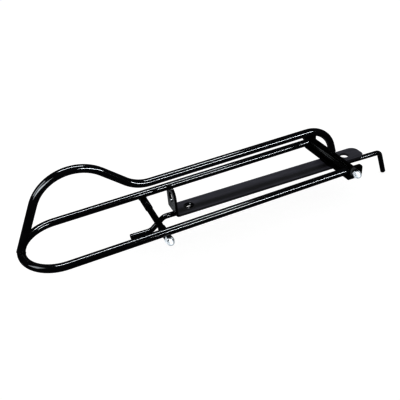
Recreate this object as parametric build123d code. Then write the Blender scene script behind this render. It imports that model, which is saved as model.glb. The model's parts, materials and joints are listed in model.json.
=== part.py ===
from build123d import *
from math import atan2, cos, radians, sin, tan
import os

# Folding saddle rack for a stable wall, shown folded flat: a welded rod arm hinged to a
# flat wall bar, with a loose prop strut stowed behind the bar.
# Millimetres. Origin on the back face of the wall bar, on its centreline, 122.5 mm from
# its lower screw hole. +X runs along the bar to the hinge, +Y across it, +Z away from
# the wall.

# Rod and tube stock
ROD_D = 10.0                # loop frame and ridge rod
STRUT_D = 7.0               # prop strut
STUD_D = 6.0                # both threaded studs, M6
RUNNING_GAP = 0.08          # radial, in the two bores that turn on a stud
LOOSE_GAP = 0.2             # radial, in plain clearance holes for a stud

# Wall bar
BAR_WIDTH = 28.0
BAR_T = 3.0
LOWER_HOLE_X = -122.5
UPPER_HOLE_X = 119.5
LOWER_HOLE_D = 7.0
LOWER_SINK_D = 13.0
LOWER_SINK_DEPTH = 2.0
UPPER_HOLE_D = 12.0
BAR_END_X = 145.8
BAR_CORNER_R = 10.0
CRANK_X = 108.5             # past the strap the bar steps forward by its own thickness
CRANK_RUN = 4.5             # length of the sloping step
EAR_X = -145.8              # outer face of the bent-up ear
EAR_HEIGHT = 40.6           # from the bar's back face to the top of the ear
EAR_HOLE_D = 14.0
EAR_HOLE_Z = 24.1
EAR_BEND_R = 4.5            # outside radius where the bar turns up into the ear

# Hinge
PIVOT_X = 94.7
PIVOT_Z = 14.6
BARREL_D = 13.0
BRACKET_T = 3.0
BRACKET_WIDTH = 19.0
BRACKET_SHIFT = 2.8         # the strap's middle lies this far past the hinge axis
LUG_INSIDE = 53.0           # half the width between the lugs
LUG_BEND_R = 5.0            # outside radius where the strap turns up into a lug
LUG_TOP = 9.4               # from the hinge axis to the top of a lug
LUG_CORNER_R = 5.0
BARREL_END_GAP = 0.5

# Arm, seen in its own frame: x from the hinge axis, z from the plane of the two rails
RAIL_HALF = 47.0            # half the spacing of the rail centres
RAIL_LENGTH = 385.5         # from the centre of the end loop to the hinge axis
ARM_REST_TILT = 1.19        # degrees, the loop end hangs a little towards the bar
RIDGE_FOOT = (-432.5, 4.0)
HUMP_CORNER = (-370.6, 124.2)
HUMP_R = 54.7
DIP_CORNER = (-280.3, 45.2)
DIP_R = 45.0
SHOULDER_CORNER = (-7.0, 46.2)
SHOULDER_R = 42.0
RIDGE_END = (3.5, 4.0)

# Cross member under the rails, where the strut bears
CROSS_X = -264.7
CROSS_DROP = 9.8            # its axis lies this far under the rails' plane
BOSS_D = 9.8
BOSS_INNER = 24.0
BOSS_OUTER = 48.5
ROLLER_D = 8.2
ROLLER_END_GAP = 0.3

# Prop strut, lying along the back of the bar
STRUT_GAP = 2.6             # between the bar's back face and the strut
STRUT_YAW = -1.08           # degrees, it lies slightly askew
STRUT_MID_Y = 1.8           # side offset at the middle of the bar
FOOT_X = 181.5              # corner of the bent foot
FOOT_LENGTH = 38.0
FOOT_LEAN = 18.0            # degrees, the foot splays away from square
FOOT_BEND_R = 8.0
STEP_TOP_X = -157.4
STEP_SLOPE_X = -176.6
STEP_DROP = 16.0
STEP_BEND_R = 12.0
STRUT_TAIL_X = -204.7

# Acorn nuts, M6
NUT_AF = 10.0
NUT_HEX_H = 6.0
NUT_H = 12.0
NUT_DOME_D = 9.5
NUT_THREAD_DEPTH = 8.0
NUT_THREAD_GAP = 0.05       # radial, drawn between nut and stud


def swept_rod(points, radii, diameter):
    """A round rod along straight runs joined by tangent arcs."""
    if radii:
        path = FilletPolyline(*points, radius=radii)
    else:
        path = Polyline(*points)
    start = Plane(origin=path @ 0, z_dir=path % 0)
    return sweep(start * Circle(diameter / 2), path=path, transition=Transition.ROUND)


def rod_along_y(diameter, y_from, y_to):
    """A solid cylinder on the Y axis between two stations."""
    disc = Plane(origin=(0, y_from, 0), z_dir=(0, 1, 0)) * Circle(diameter / 2)
    return extrude(disc, amount=y_to - y_from)


def place_arm(shape):
    """Move a shape from the arm's own frame to its rest place on the hinge axis."""
    return Location((PIVOT_X, 0, PIVOT_Z)) * Rotation(0, -ARM_REST_TILT, 0) * shape


def on_cross(shape):
    return place_arm(Location((CROSS_X, 0, -CROSS_DROP)) * shape)


def on_hinge(shape):
    return Location((PIVOT_X, 0, PIVOT_Z)) * shape


def acorn_nut():
    """A domed nut standing on the XY plane, blind thread opening downwards."""
    hexagon = extrude(RegularPolygon(NUT_AF / 2, 6, major_radius=False), amount=NUT_HEX_H)
    corner_r = NUT_AF / 2 / cos(radians(30))
    rounding = Cone(corner_r + NUT_HEX_H * 1.2, corner_r - 0.5, NUT_HEX_H,
                    align=(Align.CENTER, Align.CENTER, Align.MIN))
    dome_r = NUT_DOME_D / 2
    neck = Cylinder(dome_r, NUT_H - dome_r, align=(Align.CENTER, Align.CENTER, Align.MIN))
    dome = Location((0, 0, NUT_H - dome_r)) * Sphere(dome_r)
    thread = Cylinder(STUD_D / 2 + NUT_THREAD_GAP, NUT_THREAD_DEPTH + 0.5,
                      align=(Align.CENTER, Align.CENTER, Align.MIN))
    return (hexagon & rounding) + neck + dome - thread


def nut_on_y(side, seat):
    """An acorn nut on the Y axis, its base at distance seat on the given side."""
    facing = Plane(origin=(0, side * seat, 0), x_dir=(1, 0, 0), z_dir=(0, side, 0))
    return facing.location * acorn_nut()


def make_wall_bar():
    half = BAR_WIDTH / 2
    end_x = BAR_END_X
    flat_start = EAR_X + EAR_BEND_R
    side = Polyline((EAR_X, EAR_HEIGHT), (EAR_X, EAR_BEND_R))
    side += Edge.make_three_point_arc(
        (EAR_X, EAR_BEND_R, 0),
        (flat_start - EAR_BEND_R * cos(radians(45)), EAR_BEND_R * (1 - cos(radians(45))), 0),
        (flat_start, 0, 0),
    )
    inner = EAR_X + BAR_T
    inner_r = EAR_BEND_R - BAR_T
    # the step keeps the bar's thickness: its back corners lie a little past the front ones
    crank_end = CRANK_X + CRANK_RUN
    set_back = BAR_T * tan(atan2(BAR_T, CRANK_RUN) / 2)
    side += Polyline(
        (flat_start, 0), (CRANK_X + set_back, 0), (crank_end + set_back, BAR_T), (end_x, BAR_T),
        (end_x, 2 * BAR_T), (crank_end, 2 * BAR_T), (CRANK_X, BAR_T), (flat_start, BAR_T))
    side += Edge.make_three_point_arc(
        (flat_start, BAR_T, 0),
        (flat_start - inner_r * cos(radians(45)), EAR_BEND_R - inner_r * cos(radians(45)), 0),
        (inner, EAR_BEND_R, 0),
    )
    side += Polyline((inner, EAR_BEND_R), (inner, EAR_HEIGHT), (EAR_X, EAR_HEIGHT))
    profile = Plane.XZ * make_face(side)
    bar = extrude(profile, amount=half, both=True)

    # plan outline: square at the ear, rounded corners at the hinge end
    plan = make_face(Polyline((EAR_X, -half), (end_x, -half), (end_x, half), (EAR_X, half), close=True))
    plan = fillet(plan.vertices().group_by(Axis.X)[-1], BAR_CORNER_R)
    bar = bar & extrude(plan, amount=EAR_HEIGHT)

    # ear outline: round top, seen along the bar
    ear_face = Plane(origin=(EAR_X - 1, 0, 0), x_dir=(0, 1, 0), z_dir=(1, 0, 0))
    straight = EAR_HEIGHT - half
    outline = Location((0, straight / 2)) * Rectangle(BAR_WIDTH, straight)
    outline += Location((0, straight)) * Circle(half)
    bar = bar & extrude(ear_face * outline, amount=end_x - EAR_X + 2)
    ear_hole = ear_face * Location((0, EAR_HOLE_Z)) * Circle(EAR_HOLE_D / 2)
    bar -= extrude(ear_hole, amount=BAR_T + 2)

    # screw holes: countersunk at the ear end, plain at the hinge end
    bar -= Location((LOWER_HOLE_X, 0, BAR_T / 2)) * Cylinder(LOWER_HOLE_D / 2, 2 * BAR_T)
    sink = Cone(LOWER_HOLE_D / 2, LOWER_SINK_D / 2, LOWER_SINK_DEPTH,
                align=(Align.CENTER, Align.CENTER, Align.MAX))
    bar -= Location((LOWER_HOLE_X, 0, BAR_T)) * sink
    bar -= Location((UPPER_HOLE_X, 0, 1.5 * BAR_T)) * Cylinder(UPPER_HOLE_D / 2, 2 * BAR_T)
    return bar


def make_hinge_bracket():
    """A strap welded across the bar, its ends turned up as two lugs."""
    outside = LUG_INSIDE + BRACKET_T
    half = BRACKET_WIDTH / 2
    top = PIVOT_Z + LUG_TOP
    web_top = BAR_T + BRACKET_T
    section = Plane.YZ * make_face(Polyline(
        (-outside, top), (-outside, BAR_T), (outside, BAR_T), (outside, top),
        (LUG_INSIDE, top), (LUG_INSIDE, web_top), (-LUG_INSIDE, web_top), (-LUG_INSIDE, top),
        close=True))
    strap = extrude(section, amount=half, both=True)
    outer = strap.edges().filter_by(Axis.X).filter_by(lambda e: e.center().Z < BAR_T + 0.1)
    strap = fillet(outer, LUG_BEND_R)
    inner = strap.edges().filter_by(Axis.X).filter_by(
        lambda e: abs(e.center().Z - web_top) < 0.1 and abs(abs(e.center().Y) - LUG_INSIDE) < 0.1)
    strap = fillet(inner, LUG_BEND_R - BRACKET_T)
    corners = strap.edges().filter_by(Axis.Y).filter_by(lambda e: e.center().Z > top - 0.1)
    strap = fillet(corners, LUG_CORNER_R)
    strap = Location((PIVOT_X + BRACKET_SHIFT, 0, 0)) * strap
    bore = rod_along_y(STUD_D + 2 * LOOSE_GAP, -outside - 1, outside + 1)
    return strap - on_hinge(bore)


def make_barrel():
    half = LUG_INSIDE - BARREL_END_GAP
    barrel = rod_along_y(BARREL_D, -half, half)
    return barrel - rod_along_y(STUD_D + 2 * RUNNING_GAP, -half - 1, half + 1)


def make_loop_frame():
    """Both rails and the round end as one bent rod, coped to the barrel."""
    bend_x = -RAIL_LENGTH
    near = Line((0, -RAIL_HALF, 0), (bend_x, -RAIL_HALF, 0))
    bow = ThreePointArc((bend_x, -RAIL_HALF, 0), (bend_x - RAIL_HALF, 0, 0), (bend_x, RAIL_HALF, 0))
    far = Line((bend_x, RAIL_HALF, 0), (0, RAIL_HALF, 0))
    path = near + bow + far
    disc = Plane(origin=(0, -RAIL_HALF, 0), z_dir=(-1, 0, 0)) * Circle(ROD_D / 2)
    rod = sweep(disc, path=path)
    barrel_space = rod_along_y(BARREL_D, -RAIL_HALF * 2, RAIL_HALF * 2)
    past_axis = Box(BARREL_D, RAIL_HALF * 4, BARREL_D * 2, align=(Align.MIN, Align.CENTER, Align.CENTER))
    return rod - barrel_space - past_axis


def make_ridge_rod(loop):
    corners = [RIDGE_FOOT, HUMP_CORNER, DIP_CORNER, SHOULDER_CORNER, RIDGE_END]
    points = [(x, 0, z) for x, z in corners]
    rod = swept_rod(points, [HUMP_R, DIP_R, SHOULDER_R], ROD_D)
    return rod - rod_along_y(BARREL_D, -ROD_D, ROD_D) - loop


def make_prop_strut():
    z = -STRUT_GAP - STRUT_D / 2
    lean = radians(FOOT_LEAN)
    corners = [
        (FOOT_X + FOOT_LENGTH * sin(lean), z - FOOT_LENGTH * cos(lean)),
        (FOOT_X, z),
        (STEP_TOP_X, z),
        (STEP_SLOPE_X, z - STEP_DROP),
        (STRUT_TAIL_X, z - STEP_DROP),
    ]
    points = [(x, 0, z) for x, z in corners]
    rod = swept_rod(points, [FOOT_BEND_R, STEP_BEND_R, STEP_BEND_R], STRUT_D)
    ends = [f for f in rod.faces() if f.geom_type == GeomType.PLANE]
    rod = chamfer([e for f in ends for e in f.edges()], 0.5)
    return Location((0, STRUT_MID_Y, 0)) * Rotation(0, 0, STRUT_YAW) * rod


def make_cross_boss(side, loop):
    """A short tube welded under one rail; the cross stud runs through it."""
    length = (side * BOSS_INNER, side * BOSS_OUTER)
    tube = rod_along_y(BOSS_D, *length) - rod_along_y(STUD_D + 2 * LOOSE_GAP, *length)
    return Location((CROSS_X, 0, -CROSS_DROP)) * tube - loop


def build_all():
    loop = make_loop_frame()
    lug_outside = LUG_INSIDE + BRACKET_T
    hinge_stud_half = lug_outside + NUT_THREAD_DEPTH
    cross_stud_half = BOSS_OUTER + NUT_THREAD_DEPTH
    roller_half = BOSS_INNER - ROLLER_END_GAP
    roller = rod_along_y(ROLLER_D, -roller_half, roller_half)
    roller -= rod_along_y(STUD_D + 2 * RUNNING_GAP, -roller_half - 1, roller_half + 1)
    nodes = {
        "wall_bar": make_wall_bar(),
        "hinge_bracket": make_hinge_bracket(),
        "hinge_stud": on_hinge(rod_along_y(STUD_D, -hinge_stud_half, hinge_stud_half)),
        "loop_frame": place_arm(loop),
        "ridge_rod": place_arm(make_ridge_rod(loop)),
        "pivot_barrel": on_hinge(make_barrel()),
        "cross_stud": on_cross(rod_along_y(STUD_D, -cross_stud_half, cross_stud_half)),
        "cross_roller": on_cross(roller),
        "prop_strut": make_prop_strut(),
    }
    for name, side in (("near", -1), ("far", 1)):
        nodes[f"hinge_nut_{name}"] = on_hinge(nut_on_y(side, lug_outside))
        nodes[f"cross_boss_{name}"] = place_arm(make_cross_boss(side, loop))
        nodes[f"cross_nut_{name}"] = on_cross(nut_on_y(side, BOSS_OUTER))
    return nodes


os.makedirs("parts", exist_ok=True)
for name, shape in build_all().items():
    export_step(shape, f"parts/{name}.step")
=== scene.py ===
import json
from math import atan2, cos, pi, radians, sin, sqrt

import bmesh
import bpy
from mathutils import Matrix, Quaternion, Vector
from mathutils.noise import noise


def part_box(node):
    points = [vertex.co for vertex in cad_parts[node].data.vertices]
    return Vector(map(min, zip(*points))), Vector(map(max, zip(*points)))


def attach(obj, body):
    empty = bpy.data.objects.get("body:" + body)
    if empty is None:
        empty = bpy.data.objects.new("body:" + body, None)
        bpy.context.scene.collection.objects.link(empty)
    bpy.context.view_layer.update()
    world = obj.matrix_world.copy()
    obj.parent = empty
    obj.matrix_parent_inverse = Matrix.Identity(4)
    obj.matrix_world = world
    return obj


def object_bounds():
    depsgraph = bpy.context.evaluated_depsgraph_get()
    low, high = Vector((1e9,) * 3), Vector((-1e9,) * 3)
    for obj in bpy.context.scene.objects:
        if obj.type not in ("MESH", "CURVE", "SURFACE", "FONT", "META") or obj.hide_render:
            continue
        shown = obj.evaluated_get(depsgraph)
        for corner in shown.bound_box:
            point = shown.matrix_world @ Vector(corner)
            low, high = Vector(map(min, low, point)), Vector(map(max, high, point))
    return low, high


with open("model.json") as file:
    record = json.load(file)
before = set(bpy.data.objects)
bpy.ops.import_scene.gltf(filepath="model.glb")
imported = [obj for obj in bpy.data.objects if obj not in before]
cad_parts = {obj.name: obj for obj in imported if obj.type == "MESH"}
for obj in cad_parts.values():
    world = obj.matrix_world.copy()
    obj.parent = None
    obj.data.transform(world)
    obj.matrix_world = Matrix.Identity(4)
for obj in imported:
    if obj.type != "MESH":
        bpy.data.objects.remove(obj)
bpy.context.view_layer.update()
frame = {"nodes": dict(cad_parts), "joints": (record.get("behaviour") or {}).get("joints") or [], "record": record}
NODES = frame["nodes"]
JOINTS = {joint["name"]: joint for joint in frame["joints"]}
MOUNTS = {mount["name"]: mount for mount in frame["record"]["mounts"]}

X_AXIS = Vector((1, 0, 0))
Y_AXIS = Vector((0, 1, 0))
Z_AXIS = Vector((0, 0, 1))

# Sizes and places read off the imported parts, in metres
LOOP_LO, LOOP_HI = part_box("loop_frame")
RIDGE_LO, RIDGE_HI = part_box("ridge_rod")
BARREL_LO, BARREL_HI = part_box("pivot_barrel")
STRAP_LO, STRAP_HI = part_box("hinge_bracket")
EAR_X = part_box("wall_bar")[0].x
PIVOT = Vector(JOINTS["arm_hinge"]["pos_m"])
ROD_R = (RIDGE_HI.y - RIDGE_LO.y) / 2
BARREL_R = (BARREL_HI.z - BARREL_LO.z) / 2
RAIL_Y = LOOP_HI.y - ROD_R

# The arm at rest: its run and slope, and the directions along and square to its rails
ARM_RUN = PIVOT.x - (LOOP_LO.x + ROD_R)
ARM_TILT = atan2(PIVOT.z - (LOOP_LO.z + ROD_R), ARM_RUN)
ALONG_RAILS = Vector((cos(ARM_TILT), 0, sin(ARM_TILT)))
OFF_RAILS = Vector((-sin(ARM_TILT), 0, cos(ARM_TILT)))

# The wall bar
BAR_FACE_Z = STRAP_LO.z     # the strap lies on the bar's front
LOWER_HOLE_X = MOUNTS["lower_screw_hole"]["pos_m"][0]
# SINK_R and EAR_REACH also bound the painted shade that darkens the sink round the lower hole and the ear
SINK_R = 0.0072
EAR_REACH = 0.0045          # the ear and its bend, along the bar
EDGE_R = 0.0004             # rounding of the sheared edges
SOFT_EDGE = 0.0006          # half the width over which one finish fades into another


# ---------------------------------------------------------------- camera
CAMERA_TARGET = Vector((-0.1038, 0.0071, 0.0006))
CAMERA_DISTANCE = 0.71025
CAMERA_AZIMUTH = radians(-20.64)
CAMERA_ELEVATION = radians(34.17)
CAMERA_ROLL = radians(-5.2)
CAMERA_LENS = 48.14


def make_camera():
    data = bpy.data.cameras.new("camera")
    data.lens = CAMERA_LENS
    data.sensor_width = 36
    data.clip_start = 0.01
    data.clip_end = 50
    camera = bpy.data.objects.new("camera", data)
    bpy.context.scene.collection.objects.link(camera)
    level = cos(CAMERA_ELEVATION)
    back = Vector((sin(CAMERA_AZIMUTH) * level, -cos(CAMERA_AZIMUTH) * level, sin(CAMERA_ELEVATION)))
    camera.location = CAMERA_TARGET + back * CAMERA_DISTANCE
    camera.rotation_mode = "QUATERNION"
    aim = (-back).to_track_quat("-Z", "Y")
    camera.rotation_quaternion = aim @ Quaternion(Z_AXIS, CAMERA_ROLL)
    bpy.context.scene.camera = camera


# ---------------------------------------------------------------- materials
class Nodes:
    """A material's node tree, written a node at a time; ramps take (place, level or colour) stops."""

    def __init__(self, name):
        self.material = bpy.data.materials.new(name)
        self.material.use_nodes = True
        self.tree = self.material.node_tree
        self.shader = self.tree.nodes["Principled BSDF"]

    def add(self, kind, **values):
        node = self.tree.nodes.new(kind)
        for key, value in values.items():
            setattr(node, key, value)
        return node

    def set(self, **values):
        for name, value in values.items():
            self.shader.inputs[name.replace("_", " ")].default_value = value

    def join(self, source, target):
        self.tree.links.new(source, target)

    def here(self):
        """The shaded point, in the frame's own metres."""
        return self.add("ShaderNodeTexCoord").outputs["Object"]

    def place(self, stretch):
        mapping = self.add("ShaderNodeMapping")
        mapping.inputs["Scale"].default_value = stretch
        self.join(self.here(), mapping.inputs["Vector"])
        return mapping.outputs["Vector"]

    def noise(self, scale, detail=2.0, stretch=(1, 1, 1), rough=0.5):
        texture = self.add("ShaderNodeTexNoise")
        texture.inputs["Scale"].default_value = scale
        texture.inputs["Detail"].default_value = detail
        texture.inputs["Roughness"].default_value = rough
        self.join(self.place(stretch), texture.inputs["Vector"])
        return texture.outputs["Fac"]

    def ramp(self, value, stops):
        ramp = self.add("ShaderNodeValToRGB")
        elements = ramp.color_ramp.elements
        while len(elements) < len(stops):
            elements.new(0.5)
        for element, (position, colour) in zip(elements, stops):
            element.position = position
            element.color = (*colour, 1) if isinstance(colour, tuple) else (colour, colour, colour, 1)
        self.join(value, ramp.inputs["Fac"])
        return ramp.outputs["Color"]

    def mix(self, factor, first, second):
        mixer = self.add("ShaderNodeMix", data_type="RGBA")
        self.join(factor, mixer.inputs[0])
        for socket, value in ((mixer.inputs[6], first), (mixer.inputs[7], second)):
            if isinstance(value, tuple):
                socket.default_value = (*value, 1)
            else:
                self.join(value, socket)
        return mixer.outputs[2]

    def bump(self, height, strength, distance, under=None):
        bump = self.add("ShaderNodeBump")
        bump.inputs["Strength"].default_value = strength
        bump.inputs["Distance"].default_value = distance
        self.join(height, bump.inputs["Height"])
        if under is not None:
            self.join(under, bump.inputs["Normal"])
        return bump.outputs["Normal"]

    def beyond(self, x):
        """1 on the -X side of a station, 0 past it, with a short soft edge."""
        split = self.add("ShaderNodeSeparateXYZ")
        self.join(self.here(), split.inputs["Vector"])
        return self.fade(split.outputs["X"], x)

    def near(self, centre, reach):
        """1 within reach of a point, 0 outside, with a short soft edge."""
        distance = self.add("ShaderNodeVectorMath", operation="DISTANCE")
        self.join(self.here(), distance.inputs[0])
        distance.inputs[1].default_value = centre
        return self.fade(distance.outputs["Value"], reach)

    def fade(self, value, edge):
        """1 where value is below edge, 0 above it."""
        fade = self.add("ShaderNodeMapRange", interpolation_type="SMOOTHSTEP")
        fade.inputs["From Min"].default_value = edge + SOFT_EDGE
        fade.inputs["From Max"].default_value = edge - SOFT_EDGE
        self.join(value, fade.inputs["Value"])
        return fade.outputs["Result"]

    def larger(self, first, second):
        pick = self.add("ShaderNodeMath", operation="MAXIMUM")
        self.join(first, pick.inputs[0])
        self.join(second, pick.inputs[1])
        return pick.outputs["Value"]


def gloss_black(name, grain):
    """Dipped black coat: deep and wet, with a faint orange peel and dust."""
    m = Nodes(name)
    m.set(Specular_IOR_Level=0.5, IOR=1.5)
    cloud = m.noise(60, 4)
    m.join(m.ramp(cloud, [(0.35, (0.0010, 0.0010, 0.0013)), (0.7, (0.0024, 0.0024, 0.0028))]),
           m.shader.inputs["Base Color"])
    dust = m.noise(900, 3)
    rough = m.ramp(dust, [(0.3, 0.085), (0.62, 0.10), (0.8, 0.12)])
    m.join(rough, m.shader.inputs["Roughness"])
    peel = m.bump(m.noise(420, 1.5), 0.015 * grain, 0.0006)
    fine = m.bump(m.noise(2200, 2), 0.002 * grain, 0.0002, peel)
    m.join(fine, m.shader.inputs["Normal"])
    return m.material


def satin_charcoal():
    """Strip under a satin coat, mottled along the bar; painted shade darkens the ear and the lower hole's sink to
    near black, and both are glossier.
    """
    m = Nodes("satin_charcoal_coat")
    m.set(Specular_IOR_Level=0.5, IOR=1.5)
    streaks = m.noise(260, 6, stretch=(0.12, 1, 1), rough=0.65)
    blotches = m.noise(70, 3, stretch=(0.6, 1, 1))
    light = m.ramp(streaks, [(0.3, (0.013, 0.012, 0.0155)), (0.72, (0.036, 0.034, 0.042))])
    dark = m.ramp(blotches, [(0.3, (0.012, 0.0113, 0.014)), (0.7, (0.026, 0.025, 0.031))])
    flat = m.mix(m.noise(30, 1), light, dark)
    # painted shade: the ear, which faces away from the light, and the recess of the lower screw hole's sink are
    # coloured near black (0.002) and made glossier
    painted_shade = m.larger(m.beyond(EAR_X + EAR_REACH), m.near((LOWER_HOLE_X, 0, BAR_FACE_Z), SINK_R))
    m.join(m.mix(painted_shade, flat, (0.002, 0.002, 0.0025)), m.shader.inputs["Base Color"])
    satin = m.ramp(streaks, [(0.3, 0.26), (0.7, 0.40)])
    m.join(m.mix(painted_shade, satin, (0.13, 0.13, 0.13)), m.shader.inputs["Roughness"])
    peel = m.bump(m.noise(700, 3), 0.12, 0.0003)
    drawn = m.bump(m.noise(900, 4, stretch=(0.05, 1, 1)), 0.12, 0.0003, peel)
    m.join(drawn, m.shader.inputs["Normal"])
    return m.material


def bright_chrome():
    """Plated nut: bright, with a slight haze and fine handling marks."""
    m = Nodes("bright_chrome")
    m.set(Metallic=1.0)
    m.join(m.ramp(m.noise(300, 3), [(0.3, (0.80, 0.81, 0.82)), (0.7, (0.90, 0.905, 0.91))]),
           m.shader.inputs["Base Color"])
    m.join(m.ramp(m.noise(1200, 4), [(0.35, 0.10), (0.75, 0.22)]), m.shader.inputs["Roughness"])
    m.join(m.bump(m.noise(1500, 3), 0.06, 0.0002), m.shader.inputs["Normal"])
    return m.material


def zinc_steel():
    """Plated stud, turned marks round it."""
    m = Nodes("zinc_steel")
    m.set(Metallic=1.0)
    turned = m.noise(900, 3, stretch=(0.15, 3, 0.15))
    m.join(m.ramp(turned, [(0.3, (0.42, 0.42, 0.41)), (0.7, (0.60, 0.60, 0.58))]),
           m.shader.inputs["Base Color"])
    m.join(m.ramp(turned, [(0.3, 0.28), (0.7, 0.45)]), m.shader.inputs["Roughness"])
    m.join(m.bump(turned, 0.3, 0.0002), m.shader.inputs["Normal"])
    return m.material


def pale_floor():
    """Near white and matt, with a glow of its own that keeps shadows faint."""
    m = Nodes("pale_floor")
    m.set(Roughness=0.9, Specular_IOR_Level=0.1, Emission_Strength=0.90)
    m.shader.inputs["Emission Color"].default_value = (1, 1, 1, 1)
    m.join(m.ramp(m.noise(3, 2), [(0.3, 0.155), (0.7, 0.165)]), m.shader.inputs["Base Color"])
    return m.material


def soften_edges(thing):
    """Round the sheared edges of a strip part a little, so that they catch the light."""
    bevel = thing.modifiers.new("edge", "BEVEL")
    bevel.width = EDGE_R
    bevel.segments = 3
    bevel.limit_method = "ANGLE"
    bevel.angle_limit = radians(50)
    bevel.harden_normals = True


def paint(thing, material):
    thing.data.materials.clear()
    thing.data.materials.append(material)


FINISHES = {
    "gloss_black_coat": gloss_black("gloss_black_coat", grain=1.0),
    "satin_charcoal_coat": satin_charcoal(),
    "bright_chrome": bright_chrome(),
    "zinc_steel": zinc_steel(),
}
WELD_BLACK = gloss_black("weld_black", grain=2.5)


# ---------------------------------------------------------------- weld beads
BEAD_SEGMENTS = 12
RIPPLE_PITCH = 0.0017
RIPPLE_STEPS = 5            # rings of a bead in one ripple
RIPPLE_LOW = 0.86           # share of the bead's radius between two ripples
RIPPLE_RISE = 0.2           # and what a ripple's crest adds to it
UNEVEN = 0.12               # share by which a bead swells and thins at random
UNEVEN_SCALE = 700          # of the noise that does so, per metre
END_STEPS = 4               # rings over which an open bead grows to full size
END_LOW = 0.15
ROUND_STEPS = 48            # points of a weld's line round a rod

RAIL_BEAD_R = 0.0008
FOOT_BEAD_R = 0.0012
RIDGE_END_BEAD_R = 0.0009
STRAP_BEAD_R = 0.0013
STRAP_BEAD_HALF = 0.012     # half the length of a bead across the bar

FOOT_LEAN = radians(62.8)   # the ridge rod's first run, up from level
FOOT_OFF = 0.004            # that run's axis off the rails' plane, at the round end
RIDGE_END_LEAN = radians(14)   # the ridge rod's last run leans back from square to the rails
RIDGE_END_PAST = 0.0045     # where that run's axis crosses the rails' plane, past the hinge axis
RIDGE_END_OPEN = 0.0015     # its bead stops this far past the hinge axis, where the strap begins


def unit_frame(axis):
    """Two unit vectors square to axis and to each other."""
    side = axis.cross(Z_AXIS if abs(axis.z) < 0.9 else X_AXIS).normalized()
    return side, axis.cross(side).normalized()


def across(vector):
    """The vector without its part along Y."""
    return vector - vector.dot(Y_AXIS) * Y_AXIS


def saddle(through, along, centre, other_radius):
    """Points of the line where a rod meets the cylinder that lies along Y about centre."""
    side, up = unit_frame(along)
    slope = across(along)
    a = slope.dot(slope)
    points = []
    for angle in (2 * pi * k / ROUND_STEPS for k in range(ROUND_STEPS)):
        p = through + ROD_R * (cos(angle) * side + sin(angle) * up)
        offset = across(p - centre)
        b = 2 * offset.dot(slope)
        c = offset.dot(offset) - other_radius ** 2
        root = b * b - 4 * a * c
        if root > 0:
            points.append(p + along * ((-b - sqrt(root)) / (2 * a)))
    return points


def resample(points, step, closed):
    """Evenly spaced points along a line of points."""
    line = points + points[:1] if closed else points
    lengths = [0.0]
    for a, b in zip(line, line[1:]):
        lengths.append(lengths[-1] + (b - a).length)
    count = max(6, round(lengths[-1] / step))
    spaced = []
    index = 0
    for i in range(count if closed else count + 1):
        want = lengths[-1] * i / count
        while index < len(line) - 2 and lengths[index + 1] < want:
            index += 1
        part = (want - lengths[index]) / (lengths[index + 1] - lengths[index])
        spaced.append(line[index].lerp(line[index + 1], part))
    return spaced


def bead_radius(i, count, point, radius, closed):
    """Rippled like a row of coins, a little uneven, and thin at an open end."""
    coin = (i % RIPPLE_STEPS) / RIPPLE_STEPS
    swell = radius * (RIPPLE_LOW + RIPPLE_RISE * sqrt(1 - (2 * coin - 1) ** 2))
    swell *= 1 + UNEVEN * noise(point * UNEVEN_SCALE)
    if not closed:
        from_end = min(i, count - 1 - i)
        swell *= sqrt(min(1, END_LOW + from_end / END_STEPS))
    return swell


def weld_bead(name, points, radius, body, closed=True):
    path = resample(points, RIPPLE_PITCH / RIPPLE_STEPS, closed)
    count = len(path)
    mesh = bmesh.new()
    rings = []
    for i, p in enumerate(path):
        ahead = path[(i + 1) % count] if closed else path[min(i + 1, count - 1)]
        behind = path[i - 1] if closed else path[max(i - 1, 0)]
        side, up = unit_frame((ahead - behind).normalized())
        swell = bead_radius(i, count, p, radius, closed)
        angles = (2 * pi * k / BEAD_SEGMENTS for k in range(BEAD_SEGMENTS))
        rings.append([mesh.verts.new(p + swell * (cos(t) * side + sin(t) * up)) for t in angles])
    pairs = list(zip(rings, rings[1:]))
    if closed:
        pairs.append((rings[-1], rings[0]))
    else:
        mesh.faces.new(rings[0])
        mesh.faces.new(list(reversed(rings[-1])))
    for one, two in pairs:
        for k in range(BEAD_SEGMENTS):
            n = (k + 1) % BEAD_SEGMENTS
            mesh.faces.new((one[k], one[n], two[n], two[k]))
    bmesh.ops.recalc_face_normals(mesh, faces=mesh.faces)
    data = bpy.data.meshes.new(name)
    mesh.to_mesh(data)
    mesh.free()
    data.shade_smooth()
    piece = bpy.data.objects.new(name, data)
    bpy.context.scene.collection.objects.link(piece)
    paint(piece, WELD_BLACK)
    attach(piece, body)


def weld_rails():
    """Each rail into the barrel."""
    for name, side in (("near", -1), ("far", 1)):
        ring = saddle(PIVOT + Y_AXIS * side * RAIL_Y, ALONG_RAILS, PIVOT, BARREL_R)
        weld_bead(f"weld_rail_{name}", ring, RAIL_BEAD_R, "arm")


def weld_ridge_foot():
    """The ridge rod's foot onto the round end."""
    apex = PIVOT - ALONG_RAILS * ARM_RUN / cos(ARM_TILT)
    lean = FOOT_LEAN - ARM_TILT
    down = -Vector((cos(lean), 0, sin(lean)))
    ring = saddle(apex + OFF_RAILS * FOOT_OFF, down, apex, ROD_R)
    weld_bead("weld_ridge_foot", ring, FOOT_BEAD_R, "arm")


def weld_ridge_end():
    """The ridge rod's other end onto the barrel, open on the side that meets the strap."""
    lean = RIDGE_END_LEAN + ARM_TILT
    down = Vector((sin(lean), 0, -cos(lean)))
    ring = saddle(PIVOT + ALONG_RAILS * RIDGE_END_PAST, down, PIVOT, BARREL_R)
    arc = [p for p in ring if p.x < PIVOT.x + RIDGE_END_OPEN]
    arc.sort(key=lambda p: atan2(p.y, PIVOT.x + RIDGE_END_PAST - p.x))
    weld_bead("weld_ridge_end", arc, RIDGE_END_BEAD_R, "arm", closed=False)


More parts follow.
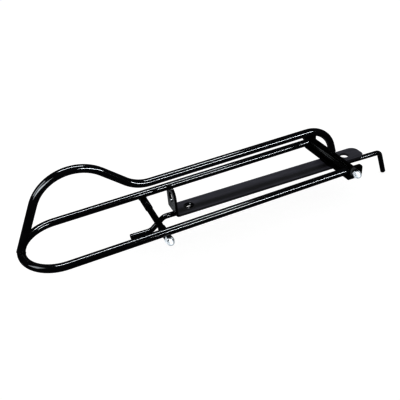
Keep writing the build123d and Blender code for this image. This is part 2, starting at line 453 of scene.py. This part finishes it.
def weld_strap():
    """The strap onto the bar, along both its edges."""
    for name, x in (("lower", STRAP_LO.x), ("upper", STRAP_HI.x)):
        line = [Vector((x, side * STRAP_BEAD_HALF, BAR_FACE_Z)) for side in (-1, 1)]
        weld_bead(f"weld_strap_{name}", line, STRAP_BEAD_R, "wall_mount", closed=False)


# ---------------------------------------------------------------- light and floor
LIGHT_COLOUR = (0.91, 0.96, 1.0)
DIFFUSE_SHARE = 0.25        # a softbox is there for its reflection and adds little to matt surfaces
TENT_SIZE = 1.8
TENT_DISTANCE = 0.9
SKY_IN_GLOSS = 0.02
SKY_IN_MATT = 0.85
FLOOR_HALF = 6.0
FLOOR_GAP = 0.0005
VIEW_GAMMA = 0.7            # keeps the edges of thin black rods on white dark


def linked_group(name, nodes):
    """A collection that a light can be limited to."""
    group = bpy.data.collections.new(name)
    for node in nodes:
        group.objects.link(NODES[node])
    return group


def softbox(name, aim_at, towards, distance, size, watts, only):
    """An area light seen from aim_at in the direction towards, on one group of parts."""
    data = bpy.data.lights.new(name, "AREA")
    data.shape = "RECTANGLE"
    data.size, data.size_y = size
    data.energy = watts
    data.color = LIGHT_COLOUR
    data.diffuse_factor = DIFFUSE_SHARE
    light = bpy.data.objects.new(name, data)
    bpy.context.scene.collection.objects.link(light)
    towards = Vector(towards).normalized()
    light.visible_camera = False
    light.location = Vector(aim_at) + towards * distance
    light.rotation_mode = "QUATERNION"
    light.rotation_quaternion = (-towards).to_track_quat("-Z", "Y")
    light.light_linking.receiver_collection = only


def make_rod_lights():
    """The long lines along the rods, the broad gleam on the round end, and the one on the hump."""
    lengthwise = linked_group("lengthwise", [n for n in NODES if n not in ("pivot_barrel", "cross_roller")])
    rods = linked_group("rods", ["loop_frame", "ridge_rod", "prop_strut"])
    ridge = linked_group("ridge", ["ridge_rod"])
    softbox("overhead", (-0.1, 0, 0), (0.0, 0.1, 1.0), 1.2, (0.95, 0.13), 27, lengthwise)
    softbox("front_right", (0, 0, 0), (0.38, -0.88, 0.46), 1.2, (0.85, 0.09), 24, rods)
    softbox("left", (-0.33, -0.03, 0), (-0.8, 0.0, 0.6), 1.0, (0.5, 0.6), 8, rods)
    softbox("hump_front", (-0.29, 0, 0.09), (-0.60, -0.74, 0.27), 1.0, (0.7, 0.42), 15, ridge)


def make_bar_lights():
    """A sheen along the bar and on its ear, and a gleam on the barrel."""
    bar = linked_group("bar", ["wall_bar"])
    barrel = linked_group("barrel", ["pivot_barrel"])
    softbox("bar_sheen", (0, 0, 0), (0.31, 0.54, 0.40), 1.0, (1.5, 0.9), 1.3, bar)
    softbox("ear_sheen", (EAR_X, 0.02, 0.01), (-0.30, 0.80, -0.55), 0.5, (0.05, 0.5), 0.06, bar)
    softbox("barrel_glint", PIVOT + Y_AXIS * 0.019, (-0.70, 0.71, -0.04), 1.0, (0.03, 0.8), 0.3, barrel)


def make_nut_lights():
    """A white tent that lights the plated nuts alone."""
    nuts = linked_group("plated_nuts", [name for name in NODES if "_nut_" in name])
    panels = [
        ("tent_front", -Y_AXIS, 14),
        ("tent_left", -X_AXIS, 10),
        ("tent_right", X_AXIS, 6),
        ("tent_top", Z_AXIS, 14),
        ("tent_under", -Z_AXIS, 7),
    ]
    for name, towards, watts in panels:
        softbox(name, (0, 0, 0), towards, TENT_DISTANCE, (TENT_SIZE, TENT_SIZE), watts, nuts)


def make_world():
    """Dim to reflections, bright to soft light, so that gloss stays deep and shadows stay faint."""
    world = bpy.data.worlds.new("world")
    world.use_nodes = True
    tree = world.node_tree
    path = tree.nodes.new("ShaderNodeLightPath")
    level = tree.nodes.new("ShaderNodeMapRange")
    level.inputs["To Min"].default_value = SKY_IN_GLOSS
    level.inputs["To Max"].default_value = SKY_IN_MATT
    tree.links.new(path.outputs["Is Diffuse Ray"], level.inputs["Value"])
    tree.links.new(level.outputs["Result"], tree.nodes["Background"].inputs["Strength"])
    tree.nodes["Background"].inputs["Color"].default_value = (1, 1, 1, 1)
    bpy.context.scene.world = world


def make_floor():
    """A pale sheet just under the object, left out of its reflections."""
    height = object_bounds()[0].z - FLOOR_GAP
    mesh = bmesh.new()
    corners = [(-1, -1), (1, -1), (1, 1), (-1, 1)]
    mesh.faces.new([mesh.verts.new((x * FLOOR_HALF, y * FLOOR_HALF, height)) for x, y in corners])
    data = bpy.data.meshes.new("floor")
    mesh.to_mesh(data)
    mesh.free()
    floor = bpy.data.objects.new("floor", data)
    bpy.context.scene.collection.objects.link(floor)
    paint(floor, pale_floor())
    floor.visible_glossy = False
    floor.visible_shadow = False


# ---------------------------------------------------------------- making
SLOT_OF = {part["node"]: part["material_slot"] for part in frame["record"]["subparts"]}
for node, thing in NODES.items():
    paint(thing, FINISHES[SLOT_OF[node]])
for node in ("wall_bar", "hinge_bracket"):
    soften_edges(NODES[node])

weld_rails()
weld_ridge_foot()
weld_ridge_end()
weld_strap()

make_camera()
make_rod_lights()
make_bar_lights()
make_nut_lights()
make_world()
make_floor()
bpy.context.scene.view_settings.view_transform = "Standard"
bpy.context.scene.view_settings.gamma = VIEW_GAMMA
